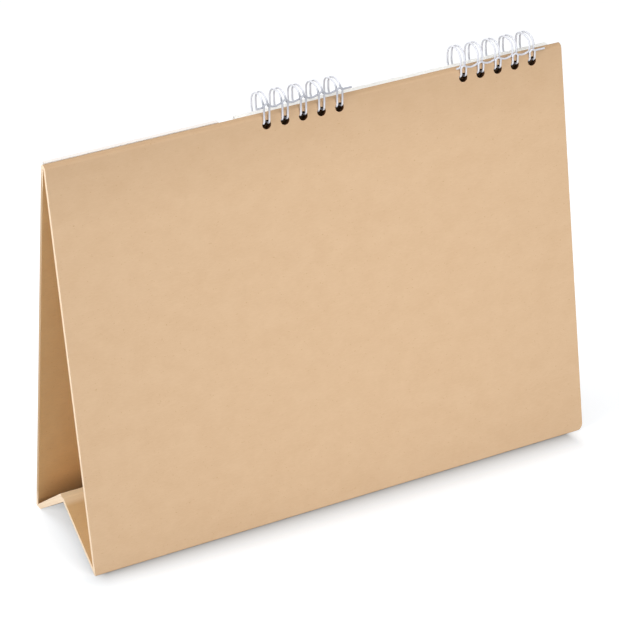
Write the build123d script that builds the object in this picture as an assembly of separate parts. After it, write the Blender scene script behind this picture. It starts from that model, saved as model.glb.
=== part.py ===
"""Desk calendar with memo pad.

A strip of thick brown board is folded into a closed easel with an inverted-V base. Two lengths of
twin-loop binding wire pass through holes at its ridge and carry the calendar sheets on the front.
A block of note sheets is glued beside them.

X runs along the ridge, the back of the easel faces +Y and it stands on Z = 0. Millimetres.
"""
from build123d import *
import math
import os

# Easel
stand_length = 240.0
stand_height = 178.0
stand_depth = 62.0
board_thickness = 1.8
ridge_fold_radius = 2.0
base_ridge_height = 21.6
foot_flat_width = 1.0
foot_fold_radius = 0.5
glue_flap_setback = 1.5
worn_corner_radius = 3.3

# Binding holes, punched in one row through both panels
hole_diameter = 4.0
hole_pitch = 8.467
hole_drop = 4.45
row_end_margin = 11.5
fingers_per_wire = 5

# Binding wire, seen from the end of the ridge
wire_diameter = 0.85
wire_sides = 8
wire_seat_clearance = 0.13
loop_depth = 11.85
loop_rise = 7.9
loop_sag = 0.8
loop_far_corner_radius = 5.0
loop_near_corner_radius = 1.9
root_inset = 0.95
root_half_width = 1.0
hole_half_width = 1.2
crown_half_width = 1.45
crown_rise = 1.15
bar_bend_radius = 0.9

# Straight steps that each round stretch of a wire is drawn with
loop_top_steps = 10
far_corner_steps = 5
near_corner_steps = 3
crown_steps = 6
bend_steps = 3

# Where each wire closes, above the ridge, and the straight ends it was cut to
inner_seam_rise = 2.75
inner_start_length = 4.2
inner_end_length = 6.0
outer_seam_rise = -0.05
outer_start_length = 3.0
outer_end_length = 6.6

# Calendar sheets
calendar_width = 150.0
calendar_thickness = 3.0
calendar_end_inset = 3.5
calendar_top_margin = 3.7
calendar_hang = 0.8
calendar_clearance = 0.35

# Note block, beside the calendar
pads_gap = 8.0
memo_thickness = 2.2
memo_end_inset = 1.5
memo_top_drop = 0.65
pads_bottom_drop = 150.0

# Every cut runs past its solid by this much
overrun = 0.5

# Lean of the panels, from the feet up to the round of the ridge fold
half_depth = stand_depth / 2
fold_centre_height = stand_height - ridge_fold_radius
lean = math.atan2(half_depth, fold_centre_height) - math.asin(
    ridge_fold_radius / math.hypot(half_depth, fold_centre_height))
apex_height = half_depth / math.tan(lean)
face_y_at_ridge = (apex_height - stand_height) * math.tan(lean)

# Slopes of the two halves of the base
foot_inner_y = half_depth - foot_flat_width
front_slope = math.atan2(base_ridge_height, foot_inner_y)
base_underside_height = base_ridge_height - board_thickness / math.cos(front_slope)
rear_slope = math.atan2(base_underside_height, foot_inner_y)

# Outer faces of the two panels: origin level with the top of the ridge, local Y up the slope
rear_face = Plane(
    origin=(0, face_y_at_ridge, stand_height),
    x_dir=(-1, 0, 0),
    z_dir=(0, math.cos(lean), math.sin(lean)))
front_face = Plane(
    origin=(0, -face_y_at_ridge, stand_height),
    x_dir=(1, 0, 0),
    z_dir=(0, -math.cos(lean), math.sin(lean)))

# Along the ridge: the calendar near the -X end, its holes in the middle of it, the block in the rest
calendar_left_x = calendar_end_inset - stand_length / 2
calendar_right_x = calendar_left_x + calendar_width
memo_left_x = calendar_right_x + pads_gap
memo_right_x = stand_length / 2 - memo_end_inset
pitches_in_row = round((calendar_width - 2 * row_end_margin) / hole_pitch)
pitches_between_wires = pitches_in_row + 1 - fingers_per_wire
first_hole_x = (calendar_left_x + calendar_right_x + pitches_in_row * hole_pitch) / 2

# The loop of the wire lies against the back of the rear panel
hole_radius = hole_diameter / 2
wire_radius = wire_diameter / 2
hole_top_height = stand_height - (hole_drop - hole_radius) * math.cos(lean)
hole_centre_height = stand_height - hole_drop * math.cos(lean)
loop_near_y = (apex_height - hole_top_height) * math.tan(lean) + wire_radius + wire_seat_clearance
loop_radius = loop_depth / 2
loop_far_y = loop_near_y - loop_depth
loop_top_height = stand_height + loop_rise
loop_bottom_height = hole_centre_height - loop_sag
loop_arc_centre = (loop_near_y - loop_radius, loop_top_height - loop_radius)


def hole_positions(wire_number):
    """X of each hole that one wire passes through."""
    start = first_hole_x - wire_number * pitches_between_wires * hole_pitch
    return [start - finger * hole_pitch for finger in range(fingers_per_wire)]


def line_crossing(point_a, slope_a, point_b, slope_b):
    """Where two lines in the section cross; a slope is a rise over a run."""
    y = (point_b[1] - point_a[1] + slope_a * point_a[0] - slope_b * point_b[0]) / (slope_a - slope_b)
    return (y, point_a[1] + slope_a * (y - point_a[0]))


def corner_near(face, point):
    """The corner of a section that lies nearest to a point in (y, z)."""
    return min(face.vertices(), key=lambda v: math.hypot(v.X - point[0], v.Y - point[1]))


def stand_section():
    """Section of the folded board, in (y, z): its outside less the hollow of the tent."""
    apex = (0, apex_height)
    rear_foot = (half_depth, 0)
    front_foot = (-half_depth, 0)
    base_underside = (0, base_underside_height)
    glued_edge = (-foot_inner_y + board_thickness / math.sin(front_slope), 0)
    outside = make_face(Polyline(
        apex, rear_foot, (foot_inner_y, 0), base_underside, glued_edge, front_foot, close=True))
    outside = fillet(corner_near(outside, apex), ridge_fold_radius)
    for foot in (rear_foot, front_foot):
        outside = fillet(corner_near(outside, foot), foot_fold_radius)

    inner_apex = (0, apex_height - board_thickness / math.sin(lean))
    panel_slope = 1 / math.tan(lean)
    rear_top_point = (0, base_underside_height + board_thickness / math.cos(rear_slope))
    front_top_point = (0, base_ridge_height)
    base_ridge = line_crossing(
        rear_top_point, -math.tan(rear_slope), front_top_point, math.tan(front_slope))
    rear_corner = line_crossing(inner_apex, -panel_slope, rear_top_point, -math.tan(rear_slope))
    flap_edge_low = (
        base_ridge[0] - glue_flap_setback * math.cos(front_slope),
        base_ridge[1] - glue_flap_setback * math.sin(front_slope))
    flap_edge_high = (
        flap_edge_low[0] - board_thickness * math.sin(front_slope),
        flap_edge_low[1] + board_thickness * math.cos(front_slope))
    front_corner_height = board_thickness * math.cos(front_slope)
    front_corner = ((front_corner_height - inner_apex[1]) / panel_slope, front_corner_height)
    hollow = make_face(Polyline(
        inner_apex, rear_corner, base_ridge, flap_edge_low, flap_edge_high, front_corner, close=True))
    hollow = fillet(corner_near(hollow, inner_apex), ridge_fold_radius - board_thickness)
    hollow = fillet(corner_near(hollow, base_ridge), min(board_thickness, glue_flap_setback))
    return outside - hollow


def binding_hole_cutters(face, side):
    """Round punches through one panel, square to its face; side is the sign of X in its plane."""
    depth = board_thickness + 2 * overrun
    row = [(side * x, -hole_drop) for wire in range(2) for x in hole_positions(wire)]
    punches = Locations(*[(x, y, overrun) for x, y in row])
    return [
        face * place * Cylinder(hole_radius, depth, align=(Align.CENTER, Align.CENTER, Align.MAX))
        for place in punches.locations]


def worn_corner_cutter():
    """What is worn off the rear foot fold at its -X end."""
    corner_x = -stand_length / 2
    square = Pos(corner_x - overrun, -overrun) * Rectangle(
        worn_corner_radius + overrun, worn_corner_radius + overrun, align=(Align.MIN, Align.MIN))
    kept = Pos(corner_x + worn_corner_radius, worn_corner_radius) * Circle(worn_corner_radius)
    return extrude(Plane.XZ * (square - kept), amount=-(half_depth + overrun))


def stand():
    """The folded easel as one solid."""
    body = extrude(Plane.YZ * stand_section(), amount=stand_length / 2, both=True)
    cutters = binding_hole_cutters(rear_face, -1) + binding_hole_cutters(front_face, 1)
    return body - cutters - worn_corner_cutter()


def arc_points(centre, radius, start, end, steps):
    """Points along an arc in (y, z), without its first one; angles in degrees from +Y."""
    angles = [math.radians(start + (end - start) * i / steps) for i in range(1, steps + 1)]
    return [(centre[0] + radius * math.cos(a), centre[1] + radius * math.sin(a)) for a in angles]


def leg_points(seam_height):
    """One leg of a finger as (half width, y, z), from its bar to its crown.

    The leg rises from the bar over the ridge, comes down at the front, passes through both rows of
    holes and ends against the back of the rear panel, outside the bar that it started from.
    """
    start_height = seam_height + bar_bend_radius
    crown_height = seam_height + crown_rise - crown_half_width
    leg = [(root_half_width, loop_near_y - root_inset, start_height)]
    if start_height < loop_arc_centre[1]:
        leg.append((root_half_width, loop_near_y - root_inset, loop_arc_centre[1]))
    for step in range(1, loop_top_steps + 1):
        turn_share = step / loop_top_steps
        angle = math.pi * turn_share
        radius = loop_radius - root_inset * max(0, 1 - 2 * turn_share)
        y = loop_arc_centre[0] + radius * math.cos(angle)
        z = loop_arc_centre[1] + loop_radius * math.sin(angle)
        if z > start_height or y < loop_arc_centre[0]:
            leg.append((root_half_width, y, z))
    far_centre = (loop_far_y + loop_far_corner_radius, loop_bottom_height + loop_far_corner_radius)
    near_centre = (loop_near_y - loop_near_corner_radius, loop_bottom_height + loop_near_corner_radius)
    leg.append((root_half_width, loop_far_y, far_centre[1]))
    for y, z in arc_points(far_centre, loop_far_corner_radius, 180, 270, far_corner_steps):
        leg.append((root_half_width, y, z))
    leg.append((hole_half_width, near_centre[0], loop_bottom_height))
    for y, z in arc_points(near_centre, loop_near_corner_radius, 270, 360, near_corner_steps):
        leg.append((hole_half_width, y, z))
    leg.append((crown_half_width, loop_near_y, crown_height))
    return leg


def wire_path(hole_row, seam_height, start_length, end_length):
    """Centre line of a whole wire: bars along the seam, and a hairpin finger at each hole."""
    bar_y = loop_near_y - root_inset
    leg = leg_points(seam_height)
    crown_height = leg[-1][2]
    bend_reach = root_half_width + bar_bend_radius
    points = [(hole_row[0] + start_length, bar_y, seam_height)]
    for hole_x in hole_row:
        bend_centre = (hole_x + bend_reach, seam_height + bar_bend_radius)
        bend = arc_points(bend_centre, bar_bend_radius, 270, 180, bend_steps)
        points.append((hole_x + bend_reach, bar_y, seam_height))
        points += [(x, bar_y, z) for x, z in bend[:-1]]
        points += [(hole_x + half_width, y, z) for half_width, y, z in leg]
        crown = arc_points((hole_x, crown_height), crown_half_width, 0, 180, crown_steps)
        points += [(x, loop_near_y, z) for x, z in crown[:-1]]
        points += [(hole_x - half_width, y, z) for half_width, y, z in reversed(leg)]
        points += [(2 * hole_x - x, bar_y, z) for x, z in reversed(bend[:-1])]
        points.append((hole_x - bend_reach, bar_y, seam_height))
    points.append((hole_row[-1] - end_length, bar_y, seam_height))
    return Polyline(*points)


def binding_wire(wire_number, seam_rise, start_length, end_length):
    """One bent wire; its round section is drawn with a few flats to keep the model light."""
    path = wire_path(hole_positions(wire_number), stand_height + seam_rise, start_length, end_length)
    section = Plane(origin=path @ 0, z_dir=path % 0) * RegularPolygon(wire_radius, wire_sides)
    return sweep(section, path=path, transition=Transition.RIGHT)


def calendar_pad():
    """The bound sheets as one block, hanging on the wires against the front panel."""
    hole_y = -(hole_drop + calendar_hang)
    top_y = hole_y + calendar_top_margin
    sheet = Pos(calendar_left_x, top_y) * Rectangle(
        calendar_width, top_y + pads_bottom_drop, align=(Align.MIN, Align.MAX))
    holes = [Pos(x, hole_y) * Circle(hole_radius) for wire in range(2) for x in hole_positions(wire)]
    return extrude(front_face.offset(calendar_clearance) * (sheet - holes), amount=calendar_thickness)


def memo_pad():
    """The block of note sheets, glued to the front panel at its +X end."""
    sheet = Pos(memo_left_x, -memo_top_drop) * Rectangle(
        memo_right_x - memo_left_x, pads_bottom_drop - memo_top_drop, align=(Align.MIN, Align.MAX))
    return extrude(front_face * sheet, amount=memo_thickness)


parts = {
    "stand": stand(),
    "inner_binding_wire": binding_wire(0, inner_seam_rise, inner_start_length, inner_end_length),
    "outer_binding_wire": binding_wire(1, outer_seam_rise, outer_start_length, outer_end_length),
    "calendar_pad": calendar_pad(),
    "memo_pad": memo_pad(),
}

os.makedirs("parts", exist_ok=True)
for name, part in parts.items():
    export_step(part, f"parts/{name}.step")
    print(name, round(part.volume), part.is_valid)
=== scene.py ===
"""Looks of a desk calendar with memo pad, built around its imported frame.

A folded board easel carries calendar sheets on two white twin-loop wires and a block of note
sheets beside them. Every length is in metres; X runs along the ridge and +Y is the easel's back.
"""

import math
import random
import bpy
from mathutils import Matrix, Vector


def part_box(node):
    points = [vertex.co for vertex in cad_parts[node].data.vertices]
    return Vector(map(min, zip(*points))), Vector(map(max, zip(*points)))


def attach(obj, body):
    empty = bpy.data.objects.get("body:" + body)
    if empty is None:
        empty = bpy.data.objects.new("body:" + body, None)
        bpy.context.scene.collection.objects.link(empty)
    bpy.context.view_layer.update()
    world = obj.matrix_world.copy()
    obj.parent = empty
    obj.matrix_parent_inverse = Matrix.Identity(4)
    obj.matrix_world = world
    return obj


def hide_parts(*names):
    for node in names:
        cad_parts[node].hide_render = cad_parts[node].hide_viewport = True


bl_info = {
    "name": "Desk Calendar with Memo Pad",
    "version": (1, 0, 0),
    "blender": (4, 5, 0),
    "location": "View3D > Sidebar > Desk Calendar",
    "description": "Folded board easel with wire-bound calendar sheets and a block of notes",
    "category": "Object",
}

import bmesh
import bpy
from bpy.props import FloatProperty, FloatVectorProperty, IntProperty, PointerProperty
from mathutils import Quaternion, Vector
from mathutils.geometry import delaunay_2d_cdt

MM = 0.001

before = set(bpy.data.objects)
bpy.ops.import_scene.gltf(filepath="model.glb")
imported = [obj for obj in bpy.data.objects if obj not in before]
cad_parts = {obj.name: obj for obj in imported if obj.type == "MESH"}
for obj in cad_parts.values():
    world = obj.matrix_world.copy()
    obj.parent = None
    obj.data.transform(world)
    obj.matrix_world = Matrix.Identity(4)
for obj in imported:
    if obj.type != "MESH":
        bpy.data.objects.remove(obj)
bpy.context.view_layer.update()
stand_low, stand_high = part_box("stand")
calendar_low, calendar_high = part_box("calendar_pad")
memo_low, memo_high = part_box("memo_pad")


def linear_colour(hex_code):
    """An sRGB hex code as a linear colour with full alpha."""
    channels = [int(hex_code[i:i + 2], 16) / 255 for i in (0, 2, 4)]
    return tuple(c / 12.92 if c <= 0.04045 else ((c + 0.055) / 1.055) ** 2.4 for c in channels) + (1.0,)


# Shape of the easel's section, as the frame was made
HALF_DEPTH = 31 * MM
RIDGE_FOLD_RADIUS = 2 * MM
BOARD_THICKNESS = 1.8 * MM
BASE_RIDGE_HEIGHT = 21.6 * MM
FOOT_FLAT_WIDTH = 1.0 * MM
CALENDAR_THICKNESS = 3.0 * MM
CALENDAR_CLEARANCE = 0.35 * MM
MEMO_THICKNESS = 2.2 * MM
stand_height = stand_high.z
lean = math.atan2(HALF_DEPTH, stand_height - RIDGE_FOLD_RADIUS) - math.asin(
    RIDGE_FOLD_RADIUS / math.hypot(HALF_DEPTH, stand_height - RIDGE_FOLD_RADIUS))
face_y_at_ridge = HALF_DEPTH - stand_height * math.tan(lean)
base_slope = math.atan2(BASE_RIDGE_HEIGHT, HALF_DEPTH - FOOT_FLAT_WIDTH)


def on_front(x, up, out):
    """The point at x and up the front panel's slope from the ridge's level, standing out from its face."""
    return Vector((
        x,
        -face_y_at_ridge + up * math.sin(lean) - out * math.cos(lean),
        stand_height + up * math.cos(lean) + out * math.sin(lean)))


class BoardSettings(bpy.types.PropertyGroup):
    """Unbleached board of the easel."""
    liner_colour: FloatVectorProperty(
        name="Liner", description="Brown paper that faces the board", subtype="COLOR", size=4,
        min=0, max=1, default=linear_colour("DEBC97"))
    liner_dark_colour: FloatVectorProperty(
        name="Liner, Dark Fibres", description="Colour of the darker fibres", subtype="COLOR", size=4,
        min=0, max=1, default=linear_colour("B98A58"))
    liner_light_colour: FloatVectorProperty(
        name="Liner, Light Fibres", description="Colour of the paler fibres", subtype="COLOR", size=4,
        min=0, max=1, default=linear_colour("EBCDA8"))
    inside_colour: FloatVectorProperty(
        name="Inside", description="Paper that lines the inner side of the board", subtype="COLOR", size=4,
        min=0, max=1, default=linear_colour("FBD49B"))
    inside_dark_colour: FloatVectorProperty(
        name="Inside, Dark Fibres", description="Darker fibres of the inner side", subtype="COLOR", size=4,
        min=0, max=1, default=linear_colour("CC9554"))
    core_colour: FloatVectorProperty(
        name="Core", description="Cream pulp that shows at the cut edges", subtype="COLOR", size=4,
        min=0, max=1, default=linear_colour("FBE3C6"))
    # Painted shade: the front panel's cut edge is darkened towards this colour
    front_core_colour: FloatVectorProperty(
        name="Core, Front Panel", description="The front panel's cut edge, browner than the others",
        subtype="COLOR", size=4, min=0, max=1, default=linear_colour("C2A27E"))
    core_dark_colour: FloatVectorProperty(
        name="Core, Between Plies", description="Darker lines between the plies", subtype="COLOR", size=4,
        min=0, max=1, default=linear_colour("E4BF97"))
    # Painted shade: the outer liner is darkened towards this colour near the ridge and on its fold
    fold_colour: FloatVectorProperty(
        name="Ridge Fold", description="Liner stretched over the ridge", subtype="COLOR", size=4,
        min=0, max=1, default=linear_colour("9C7C5C"))
    # The inner liner is paler along the base's fold
    base_fold_colour: FloatVectorProperty(
        name="Base Fold", description="Inner liner rubbed pale along the base's fold",
        subtype="COLOR", size=4, min=0, max=1, default=linear_colour("F6DDB8"))
    # Painted shade: the closed ridge inside and the punched rims are darkened towards this colour
    depths_colour: FloatVectorProperty(
        name="Depths", description="Inner side high up in the closed ridge and the punched rims",
        subtype="COLOR", size=4, min=0, max=1, default=linear_colour("4A2A18"))


class WireSettings(bpy.types.PropertyGroup):
    """Twin-loop binding wires."""
    diameter: FloatProperty(
        name="Diameter", description="Wire with its coating", unit="LENGTH", min=0, default=0.85 * MM,
        precision=5)
    pitch: FloatProperty(
        name="Pitch", description="From one finger to the next, three to the inch", unit="LENGTH", min=0,
        default=8.467 * MM, precision=5)
    fingers: IntProperty(name="Fingers", description="Fingers on each wire", min=1, default=5)
    root_inset: FloatProperty(
        name="Root Inset", description="How far inside the crowns the bars lie", unit="LENGTH",
        default=0.95 * MM, precision=5)
    root_half_width: FloatProperty(
        name="Root Half Width", description="Half the width of a finger at its root", unit="LENGTH",
        default=1.0 * MM, precision=5)
    hole_half_width: FloatProperty(
        name="Hole Half Width", description="Half the width of a finger in its hole", unit="LENGTH",
        default=1.2 * MM, precision=5)
    crown_half_width: FloatProperty(
        name="Crown Half Width", description="Half the width of a finger at its crown", unit="LENGTH",
        default=1.25 * MM, precision=5)
    bar_bend_radius: FloatProperty(
        name="Bar Bend Radius", description="Bend from a bar into a finger", unit="LENGTH",
        default=0.9 * MM, precision=5)
    far_corner_radius: FloatProperty(
        name="Front Corner Radius", description="Bend at the lower front of each loop", unit="LENGTH",
        default=5 * MM, precision=5)
    near_corner_radius: FloatProperty(
        name="Back Corner Radius", description="Bend at the lower back of each loop", unit="LENGTH",
        default=1.9 * MM, precision=5)
    inner_start: FloatProperty(
        name="Inner Start", description="Inner wire's end before its first finger", unit="LENGTH",
        default=4.2 * MM, precision=5)
    inner_seam_rise: FloatProperty(
        name="Inner Seam Rise", description="Height of the inner wire's bars over the ridge", unit="LENGTH",
        default=3.2 * MM, precision=5)
    inner_crown_rise: FloatProperty(
        name="Inner Crown Rise", description="Height of the inner crowns over their bars", unit="LENGTH",
        default=2.05 * MM, precision=5)
    outer_start: FloatProperty(
        name="Outer Start", description="Outer wire's end before its first finger", unit="LENGTH",
        default=3.0 * MM, precision=5)
    outer_seam_rise: FloatProperty(
        name="Outer Seam Rise", description="Height of the outer wire's bars over the ridge", unit="LENGTH",
        default=-0.05 * MM, precision=5)
    outer_crown_rise: FloatProperty(
        name="Outer Crown Rise", description="Height of the outer crowns over their bars", unit="LENGTH",
        default=1.15 * MM, precision=5)
    bar_dip: FloatProperty(
        name="Bar Dip", description="How far each bar dips between its fingers", unit="LENGTH",
        default=0.55 * MM, precision=5)
    near_lift: FloatProperty(
        name="Near Lift", description="How far the fingers rise on their way through the holes",
        unit="LENGTH", default=0.9 * MM, precision=5)
    loop_droop: FloatProperty(
        name="Loop Droop", description="How far the last loop of each wire is pressed down", unit="LENGTH",
        default=1.7 * MM, precision=5)
    coating_colour: FloatVectorProperty(
        name="Coating", description="White nylon coating", subtype="COLOR", size=4, min=0, max=1,
        default=linear_colour("DFE0E7"))
    # Painted shade: the coating is greyed towards this colour on the seam's bars and crowns
    seam_colour: FloatVectorProperty(
        name="Coating, Seam",
        description="Coating greyed where the closing tool pressed the bars and crowns",
        subtype="COLOR", size=4, min=0, max=1, default=linear_colour("B2B4BD"))
    # How much of the painted shade the outer wire's seam takes, beside the inner one's
    outer_greying: FloatProperty(
        name="Outer Greying", description="How far the outer wire's seam is greyed, beside the inner one's",
        min=0, max=1, default=0.15)
    steel_colour: FloatVectorProperty(
        name="Cut Steel", description="Bare steel at the cut ends", subtype="COLOR", size=4, min=0, max=1,
        default=linear_colour("8F9193"))


class CalendarSettings(bpy.types.PropertyGroup):
    """Bound calendar sheets and their print."""
    sheets: IntProperty(name="Sheets", description="Sheets on the wires", min=1, default=13)
    sheet_thickness: FloatProperty(
        name="Sheet Thickness", description="Thickness of one sheet", unit="LENGTH", min=0,
        default=0.226 * MM, precision=5)
    clearance: FloatProperty(
        name="Clearance", description="From the easel to the rearmost sheet", unit="LENGTH",
        default=CALENDAR_CLEARANCE, precision=5)
    curl: FloatProperty(
        name="Curl", description="How far the front sheet lifts at its lower corners", unit="LENGTH",
        default=1.2 * MM, precision=5)
    hole_drop: FloatProperty(
        name="Hole Drop", description="From the sheets' top edge to the hole centres", unit="LENGTH",
        default=3.7 * MM, precision=5)
    hole_diameter: FloatProperty(
        name="Hole Diameter", description="Punched binding holes", unit="LENGTH", default=5 * MM,
        precision=5)
    paper_colour: FloatVectorProperty(
        name="Paper", description="Smooth white printing paper", subtype="COLOR", size=4, min=0, max=1,
        default=linear_colour("FBFBF8"))
    field_colour: FloatVectorProperty(
        name="Header", description="Ink of the header field", subtype="COLOR", size=4, min=0, max=1,
        default=linear_colour("6F8791"))
    number_colour: FloatVectorProperty(
        name="Numbers", description="Ink of the plain day numbers", subtype="COLOR", size=4, min=0, max=1,
        default=linear_colour("3E4144"))
    accent_colour: FloatVectorProperty(
        name="Rest Days", description="Ink of the rest days' numbers", subtype="COLOR", size=4, min=0,
        max=1, default=linear_colour("B4573A"))
    rule_colour: FloatVectorProperty(
        name="Rules", description="Ink of the thin rules", subtype="COLOR", size=4, min=0, max=1,
        default=linear_colour("A9ACAE"))
    first_column: IntProperty(
        name="First Column", description="Column that the first day is printed in", min=0, max=6, default=3)
    days: IntProperty(name="Days", description="Days of the month", min=28, max=31, default=31)


class MemoSettings(bpy.types.PropertyGroup):
    """Glued block of note sheets."""
    backing_thickness: FloatProperty(
        name="Backing Thickness", description="Card behind the note sheets", unit="LENGTH",
        default=0.45 * MM, precision=5)
    sheets: IntProperty(
        name="Leaves Drawn", description="Leaves that the block's edge shows", min=1, default=12)
    curl: FloatProperty(
        name="Curl", description="How far the top leaf lifts at its lower corners", unit="LENGTH",
        default=0.9 * MM, precision=5)
    rule_pitch: FloatProperty(
        name="Rule Pitch", description="Spacing of the printed rules", unit="LENGTH", default=8 * MM,
        precision=5)
    margin: FloatProperty(
        name="Margin", description="Clear edge round the print", unit="LENGTH", default=7 * MM, precision=5)
    paper_colour: FloatVectorProperty(
        name="Paper", description="Uncoated note paper", subtype="COLOR", size=4, min=0, max=1,
        default=linear_colour("F1EEE9"))
    backing_colour: FloatVectorProperty(
        name="Backing", description="Grey chipboard backing", subtype="COLOR", size=4, min=0, max=1,
        default=linear_colour("E6D8C2"))
    glue_colour: FloatVectorProperty(
        name="Glue", description="Film of padding glue on the top edge", subtype="COLOR", size=4, min=0,
        max=1, default=linear_colour("EFE9E4"))


class StageSettings(bpy.types.PropertyGroup):
    """Camera, floor and lamps."""
    azimuth: FloatProperty(
        name="Azimuth", description="Camera's bearing round the object", subtype="ANGLE",
        default=math.radians(152.277))
    elevation: FloatProperty(
        name="Elevation", description="Camera's height over the horizon", subtype="ANGLE",
        default=math.radians(29.636))
    roll: FloatProperty(
        name="Roll", description="Camera's turn about its own axis", subtype="ANGLE",
        default=math.radians(-0.573))
    distance: FloatProperty(
        name="Distance", description="From the camera to its target", unit="LENGTH", default=1.2468)
    target: FloatVectorProperty(
        name="Target", description="Point that the camera looks at", subtype="TRANSLATION", size=3,
        default=(0.00068, -0.00221, 0.07865))
    lens: FloatProperty(name="Lens", description="Focal length in millimetres", min=1, default=169.25)
    key_power: FloatProperty(
        name="Key", description="Softbox behind the easel, in watts", unit="POWER", default=1.2)
    top_power: FloatProperty(
        name="Top", description="Softbox overhead, a little in front, in watts", unit="POWER", default=4.4)
    fill_power: FloatProperty(
        name="Fill", description="Softbox at the +X end, in watts", unit="POWER", default=5.8)
    world_level: FloatProperty(
        name="World", description="Even light from all round", min=0, default=0.3)
    floor_glow: FloatProperty(
        name="Floor Glow", description="What the camera sees added to the open floor", min=0, default=0.66)
    glow_reach: FloatProperty(
        name="Glow Reach", description="Distance from the easel over which the glow rises", unit="LENGTH",
        min=0.1 * MM, default=7 * MM, precision=5)
    glow_inset_front: FloatProperty(
        name="Glow Inset, Front", description="How far the glow reaches under the +X end at the front foot",
        unit="LENGTH", min=0, default=20 * MM, precision=5)
    glow_inset_back: FloatProperty(
        name="Glow Inset, Back", description="How far the glow reaches under the +X end at the rear foot",
        unit="LENGTH", min=0, default=5 * MM, precision=5)
    glow_inset_far: FloatProperty(
        name="Glow Inset, Far", description="How far the glow reaches under the -X end",
        unit="LENGTH", min=0, default=9 * MM, precision=5)
    floor_colour: FloatVectorProperty(
        name="Floor", description="White sweep under the object", subtype="COLOR", size=4, min=0, max=1,
        default=linear_colour("B6BABE"))


class DeskCalendarSettings(bpy.types.PropertyGroup):
    """All settings of the desk calendar."""
    board: PointerProperty(type=BoardSettings)
    wires: PointerProperty(type=WireSettings)
    calendar: PointerProperty(type=CalendarSettings)
    memo: PointerProperty(type=MemoSettings)
    stage: PointerProperty(type=StageSettings)


# Materials

# Painted shade in the trough and on the base inside the tent
TROUGH_SHADE_COLOUR = linear_colour("5A3212")
PAPER_UNDER_INK = linear_colour("F3F2EE")
BOARD_PLIES = 5
# The name of the wires' attribute that says where shade is painted on their coating
SEAM_SHADE_ATTRIBUTE = "seam_share"
# A tone by the middle plane reaches this far to its sides, and this far over its upper height
TONE_REACH = 8 * MM
TONE_HEADROOM = 20 * MM
# The base takes this share of the trough's painted shade colour, which ends between these heights over the
# base
BASE_SHADE_SHARE = 0.25
BASE_SHADE_END = (2.4 * MM, 3.4 * MM)
# The trough's shade ends between these heights over the base and starts between these distances
# from the middle plane; between these distances from the easel's ends it falls to this share
TROUGH_TOP = (1 * MM, 13 * MM)
TROUGH_SIDE = (14 * MM, 20 * MM)
TROUGH_END = (28 * MM, 2 * MM)
TROUGH_END_SHARE = 0.35
# Painted shade on the front panel's cut edge rises between these heights, up to this share
EDGE_SHADE_START = (2 * MM, 9 * MM)
EDGE_SHADE_SHARE = 0.9
# Past the easel's far end the glow rises by this many times the distance, measured over this span
FAR_GLOW_RATE = 3
FAR_GLOW_SPAN = 100 * MM


def darker(colour, share):
    """A colour that keeps a share of its light."""
    return tuple(channel * share for channel in colour[:3]) + (1.0,)


def connect(tree, target, inputs):
    """Gives a node's sockets values or links, by name, or in the order of the sockets in use.

    A node given as a value is linked by its first output in use.
    """
    if isinstance(inputs, dict):
        pairs = [(target.inputs[name], value) for name, value in inputs.items()]
    else:
        pairs = zip([socket for socket in target.inputs if socket.enabled], inputs)
    for socket, value in pairs:
        if isinstance(value, bpy.types.Node):
            value = next(output for output in value.outputs if output.enabled)
        if isinstance(value, bpy.types.NodeSocket):
            tree.links.new(value, socket)
        else:
            socket.default_value = value


def node(tree, kind, inputs=(), **settings):
    """Adds a shader node with its settings, and its sockets' values or links."""
    made = tree.nodes.new(kind)
    for name, value in settings.items():
        setattr(made, name, value)
    connect(tree, made, inputs)
    return made


def new_material(name, colour):
    """A material with a Principled shader; returns the material, its tree and the shader."""
    material = bpy.data.materials.new(name)
    material.use_nodes = True
    material.diffuse_color = colour
    tree = material.node_tree
    return material, tree, tree.nodes["Principled BSDF"]


def fibre_texture(tree, width, length, seed, detail=3.0):
    """Noise whose grain is as wide as a drawn fibre and runs along X."""
    grain = node(tree, "ShaderNodeMapping", {
        "Vector": node(tree, "ShaderNodeTexCoord").outputs["Object"],
        "Location": (seed, seed, seed),
        "Scale": (1 / length, 1 / width, 1 / width)})
    return node(tree, "ShaderNodeTexNoise", {
        "Vector": grain, "Scale": 1.0, "Detail": detail, "Roughness": 0.6})


def mottled(tree, texture, low, high, share, colour, second_colour):
    """A colour that turns towards a second one, up to a share, where a texture goes from low to high."""
    amount = node(tree, "ShaderNodeMapRange", (texture, low, high, 0.0, share))
    return node(tree, "ShaderNodeMix", (amount, colour, second_colour), data_type="RGBA")


def section_axes(tree):
    """X, Y and Z of a point, and its distance from the easel's middle plane."""
    place = node(tree, "ShaderNodeTexCoord").outputs["Object"]
    x, y, z = node(tree, "ShaderNodeSeparateXYZ", [place]).outputs
    return x, y, z, node(tree, "ShaderNodeMath", [y], operation="ABSOLUTE")


def toned_between(tree, colour, low, high, tone, share, right_limit):
    """A colour that takes a tone from one height to another, by the easel's middle plane, up to an X."""
    x, _, z, side = section_axes(tree)
    amount = node(tree, "ShaderNodeMapRange", (z, low, high, 0.0, share))
    for value, limit in ((side, TONE_REACH), (z, high + TONE_HEADROOM), (x, right_limit)):
        inside = node(tree, "ShaderNodeMath", (value, limit), operation="LESS_THAN")
        amount = node(tree, "ShaderNodeMath", (amount, inside), operation="MULTIPLY")
    return node(tree, "ShaderNodeMix", (amount, colour, tone), data_type="RGBA")


def above_base(tree, side, z):
    """Height of a point of the inner side over the base, from |y| and z."""
    fall = math.tan(base_slope)
    base_height = node(
        tree, "ShaderNodeMath", (side, -fall, (HALF_DEPTH - FOOT_FLAT_WIDTH) * fall),
        operation="MULTIPLY_ADD")
    return node(tree, "ShaderNodeMath", (z, base_height), operation="SUBTRACT")


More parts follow.
